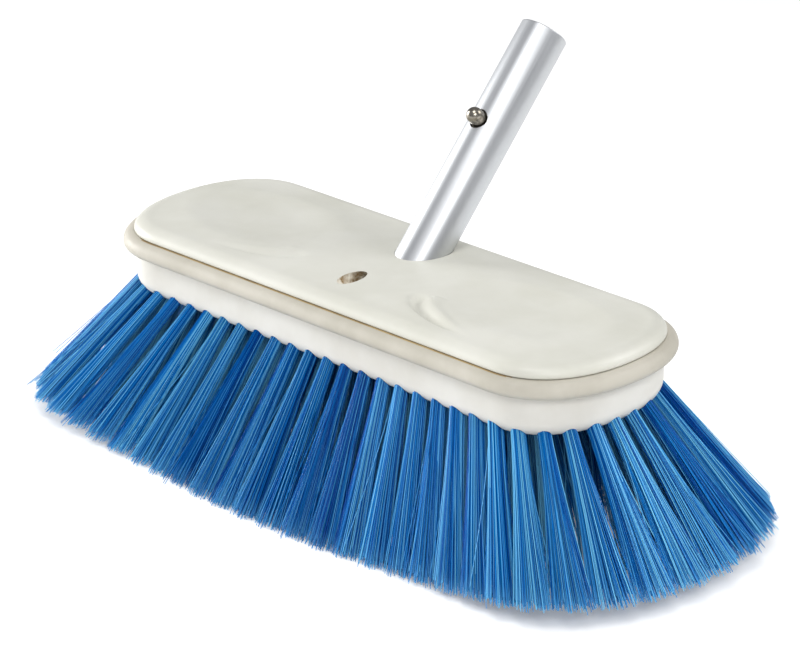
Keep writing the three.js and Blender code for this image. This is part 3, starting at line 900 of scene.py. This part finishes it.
filaments = {
    "Thickness": 0.33 * mm, "Bend": 0.3, "Depth": 3 * mm, "Ragged": 0.075, "Stray": 9 * mm,
}
filamentCounts = {"outer": 240, "second": 170, "row": 110}
# painted light: each kind of tuft is made paler or darker for the light it gets; the second ring,
# shaded among the others, is painted paler
paintedLightShift = {"outer": -0.05, "second": 0.3, "row": 0.1}
filamentSteps = {"outer": 5, "second": 4, "row": 3}


def makeBristles():
    tree = filamentTree()
    seed = 1
    for kind, sets in (("outer", ringSets[0]), ("second", ringSets[1]),
                       ("row", [group for groups in rowSets for group in groups])):
        for name, members in sets:
            points = tuftPoints(name + " points", members)
            values = dict(filaments, Filaments=filamentCounts[kind], Steps=filamentSteps[kind],
                          PaintedLightShift=paintedLightShift[kind], Seed=seed)
            made = runTree(tree, points, values, name.replace("bristle", "filaments"))
            finishPiece(made, None, "head", "bristle_filament", name)
            seed += 1


makeBristles()


# bristle block with its drilled holes

block = {"roundWidth": 5 * mm, "roundHeight": 6 * mm, "roundSteps": 14,
         "topRound": 0.5 * mm, "holeRadius": 2.7 * mm, "holeDepth": 5 * mm, "holeSides": 16,
         "screwHole": 3.8 * mm, "screwSink": 3.3 * mm}
coverScrews = {"pastEnd": 4 * mm, "pitches": 2.25, "sink": 3 * mm}
coverScrewPlaces = [Vector((side * (straightHalf + coverScrews["pastEnd"]), 0)) for side in (-1, 1)]
coverScrewPlaces += [Vector((x * coverScrews["pitches"] * rowPitch, y * rowSide / 2))
                     for x in (-1, 1) for y in (-1, 1)]


def holeTree():
    # round cutters set on the points, each along its own way, taken out of the block
    tree, given = startTree("drilled holes", {"Block": "Object", "Sides": "Int", "Depth": "Float"})
    way = attributeNode(tree, "way")
    radius = attributeNode(tree, "bore", "FLOAT")
    points = addNode(tree, "GeometryNodeMeshToPoints", {"Mesh": given["Geometry"]})
    drill = addNode(tree, "GeometryNodeMeshCylinder",
                    {"Vertices": given["Sides"], "Radius": 1.0, "Depth": given["Depth"]})
    turn = addNode(tree, "FunctionNodeAlignRotationToVector", {"Vector": way}, axis="Z")
    size = addNode(tree, "ShaderNodeCombineXYZ", {"X": radius, "Y": radius, "Z": 1.0})
    drills = addNode(tree, "GeometryNodeInstanceOnPoints",
                     {"Points": points, "Instance": drill.outputs["Mesh"],
                      "Rotation": turn, "Scale": size})
    whole = addNode(tree, "GeometryNodeRealizeInstances", {"Geometry": drills})
    blank = addNode(tree, "GeometryNodeObjectInfo", {"Object": given["Block"]})
    drilled = addNode(tree, "GeometryNodeMeshBoolean", operation="DIFFERENCE", solver="MANIFOLD")
    tree.links.new(blank.outputs["Geometry"], drilled.inputs["Mesh 1"])
    tree.links.new(whole.outputs["Geometry"], drilled.inputs["Mesh 2"])
    endTree(tree, drilled, blockPlastic)
    return tree


def makeBlock():
    inset, core = head["blockInset"], head["coreInset"]
    blockTop = bumperLow.z - head["gap"]
    edge = inset + block["roundWidth"]
    top = spigotBottom - head["gap"]
    levels = [(edge, share, blockBottom) for share in (0.0, 0.5, 0.9)]
    for i in range(block["roundSteps"] + 1):
        turn = math.pi / 2 * i / block["roundSteps"]
        levels.append((inset + block["roundWidth"] * (1 - math.sin(turn)), 1.0,
                       blockBottom + block["roundHeight"] * (1 - math.cos(turn))))
    corner = block["topRound"]
    levels += [(inset, 1.0, blockTop - corner), (inset + corner * 0.3, 1.0, blockTop - corner * 0.24),
               (inset + corner, 1.0, blockTop), (core, 1.0, blockTop),
               (core, 1.0, top), (core, 0.0, top)]
    blank = loft("block blank", levels)
    depth = block["holeDepth"]
    places, ways, radii = [], [], []
    for t in allTufts:
        way = withHeight(t["slope"], -1.0).normalized()
        places.append(withHeight(t["root"], t["level"]) - way * depth * 0.25)
        ways.append(way)
        radii.append(block["holeRadius"])
    for spot in coverScrewPlaces:
        places.append(withHeight(spot, blockBottom + block["screwSink"] - depth))
        ways.append(Vector((0, 0, 1)))
        radii.append(block["screwHole"])
    points = setPoints("drill points", places, way=ways, bore=radii)
    values = {"Block": blank, "Sides": block["holeSides"], "Depth": depth * 2}
    made = runTree(holeTree(), points, values, "drilled_block")
    bpy.data.objects.remove(blank)
    tidyMesh(made, 38)
    return finishPiece(made, blockPlastic, "head", "block_plastic", "bristle_block")


makeBlock()
print("block made")


# stub tube

def makeStub():
    outer = stub["radius"]
    inner = outer - stub["wall"]
    corner = stub["rimRound"]
    low, high = -stub["buried"], stub["length"]
    profile = arcProfile(outer - corner, low + corner, corner, -90, 0, 4)
    profile += arcProfile(outer - corner, high - corner, corner, 0, 90, 6)
    profile += arcProfile(inner + corner * 0.6, high - corner * 0.6, corner * 0.6, 90, 180, 4)
    profile += [(inner, low)]
    blank = turned("stub blank", profile, stubFoot, stubAxis, sideways, 120)
    hole = stub["buttonHole"]
    deep, past = outer - stub["drillDepth"], outer + stub["drillPast"]
    drill = turned("drill", [(0, deep), (hole, deep), (hole, outer - stub["sinkDepth"]),
                             (hole + stub["sinkWider"], past), (0, past)],
                   stubPoint(stub["buttonReach"]), stubFront, sideways, 48)
    made = cutAway(blank, [drill], "stub_tube")
    tidyMesh(made, 35)
    return finishPiece(made, aluminium, "head", "stub_aluminium", "handle_tube")


makeStub()
print("stub made")


# sprung button

button = {"radius": 3.4 * mm, "proud": 6 * mm, "collar": 3.9 * mm, "collarHeight": 0.9 * mm,
          "springWidth": 8 * mm, "springThick": 0.8 * mm, "bendReach": 26 * mm, "tail": 6 * mm}
boreRadius = stub["radius"] - stub["wall"]
springOut = math.sqrt(boreRadius ** 2 - (button["springWidth"] / 2) ** 2) - head["gap"]
springIn = springOut - button["springThick"]


def makeButton():
    foot = springOut + head["gap"] * 0.5
    tip = stub["radius"] + button["proud"]
    radius = button["radius"]
    profile = [(0, foot), (button["collar"], foot), (button["collar"], foot + button["collarHeight"]),
               (radius, foot + button["collarHeight"] + 0.1 * mm)]
    profile += arcProfile(0, tip - radius, radius, 0, 88, 14) + [(0, tip)]
    made = turned("button_pin", profile, stubPoint(stub["buttonReach"]), stubFront, sideways, 64)
    return finishPiece(made, nickelPlate, "button", "button_steel", "snap_button")


def bentStrip(name, path, material, body, node):
    # a strip of the spring's width and thickness along a path of (out, reach) in the stub
    width, thick = button["springWidth"], button["springThick"]
    mesh = bpy.data.meshes.new(name)
    points = []
    for i, (out, reach) in enumerate(path):
        before, after = path[max(0, i - 1)], path[min(len(path) - 1, i + 1)]
        way = Vector((after[0] - before[0], after[1] - before[1])).normalized()
        normal = Vector((-way.y, way.x)) * thick / 2
        for side, face in ((-1, -1), (1, -1), (1, 1), (-1, 1)):
            spot = stubPoint(reach + normal.y * face, out + normal.x * face)
            points.append(spot + sideways * side * width / 2)
    faces = [(0, 1, 2, 3)]
    for i in range(len(path) - 1):
        for k in range(4):
            following = (k + 1) % 4
            faces.append((4 * i + k, 4 * i + following, 4 * i + 4 + following, 4 * i + 4 + k))
    last = 4 * (len(path) - 1)
    faces.append((last + 3, last + 2, last + 1, last))
    mesh.from_pydata(points, [], faces)
    made = newObject(name, mesh)
    bevel = made.modifiers.new("edges", "BEVEL")
    bevel.width = 0.12 * mm
    bevel.segments = 2
    bevel.limit_method = "ANGLE"
    bevel.angle_limit = math.radians(50)
    made = tidyMesh(plainMesh(made, name), 40)
    return finishPiece(made, material, body, "spring_steel", node)


def makeSpring():
    middle = (springOut + springIn) / 2
    bend, top = button["bendReach"], stub["buttonReach"] + button["tail"]
    steps = 20
    fixed = [(middle * math.cos(math.pi * i / steps), bend - middle * math.sin(math.pi * i / steps))
             for i in range(steps + 1)] + [(-middle, top)]
    bentStrip("spring_leg", fixed, springSteel, "head", "button_spring")
    arm = [(middle, bend + head["gap"]), (middle, (bend + top) / 2), (middle, top)]
    bentStrip("spring_arm", arm, springSteel, "button", "button_arm")


makeButton()
makeSpring()
print("button and spring made")


# screws

screw = {"head": 3.5 * mm, "headHeight": 2.4 * mm, "shank": 2.0 * mm, "slot": 0.9 * mm,
         "stubHeadDepth": 9 * mm, "stubLength": 17 * mm}


def screwShape(length):
    # a pan head with a cross recess; it points along -Z with the top of its head at the origin
    radius, height, shank = screw["head"], screw["headHeight"], screw["shank"]
    profile = [(0, 0), (radius * 0.62, 0), (radius * 0.86, -0.25 * height),
               (radius * 0.97, -0.55 * height),
               (radius, -0.85 * height), (radius * 0.97, -height), (shank, -height)]
    ridge, threads = 0.3 * mm, 14
    for i in range(threads):
        depth = height + (length - 2 * shank) * (i + 0.5) / threads
        profile += [(shank, -depth), (shank - ridge, -depth - (length - 2 * shank) / threads * 0.45)]
    profile += [(shank - ridge, -height - length + 1.4 * shank), (0, -height - length)]
    made = turned("screw", profile, Vector((0, 0, 0)), Vector((0, 0, 1)), sideways, 28)
    cutters = []
    for turn in (0, 1):
        wide, long = (screw["slot"], radius * 1.15) if turn else (radius * 1.15, screw["slot"])
        mesh = bpy.data.meshes.new("slot")
        shape = bmesh.new()
        bmesh.ops.create_cube(shape, size=1.0, matrix=Matrix.Diagonal((wide, long, height * 1.3, 1)))
        shape.to_mesh(mesh)
        shape.free()
        cutters.append(newObject("slot", mesh))
    return tidyMesh(cutAway(made, cutters, "screw"), 30)


def screwTree():
    tree, given = startTree("set screws", {"Screw": "Object"})
    way = attributeNode(tree, "way")
    points = addNode(tree, "GeometryNodeMeshToPoints", {"Mesh": given["Geometry"]})
    turn = addNode(tree, "FunctionNodeAlignRotationToVector", {"Vector": way}, axis="Z")
    one = addNode(tree, "GeometryNodeObjectInfo", {"Object": given["Screw"]})
    drawn = addNode(tree, "GeometryNodeInstanceOnPoints",
                    {"Points": points, "Instance": one.outputs["Geometry"], "Rotation": turn})
    endTree(tree, drawn, zincPlate)
    return tree


def setScrews(name, length, places, way, nodes):
    shape = screwShape(length)
    points = setPoints(name + " points", places, way=[way] * len(places))
    made = runTree(screwTree(), points, {"Screw": shape}, name)
    bpy.data.objects.remove(shape)
    return finishPiece(made, None, "head", "screw_steel", *nodes)


headTop = blockBottom + coverScrews["sink"] - screw["headHeight"]
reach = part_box("cover_screw_1")[1].z - headTop - screw["headHeight"]
setScrews("block_screws", reach, [withHeight(spot, headTop) for spot in coverScrewPlaces],
          Vector((0, 0, -1)), [f"cover_screw_{i + 1}" for i in range(6)])
setScrews("stub_screw", screw["stubLength"], [screwMouth + screwWay * screw["stubHeadDepth"]],
          -screwWay, ["tube_screw"])
print("screws set")
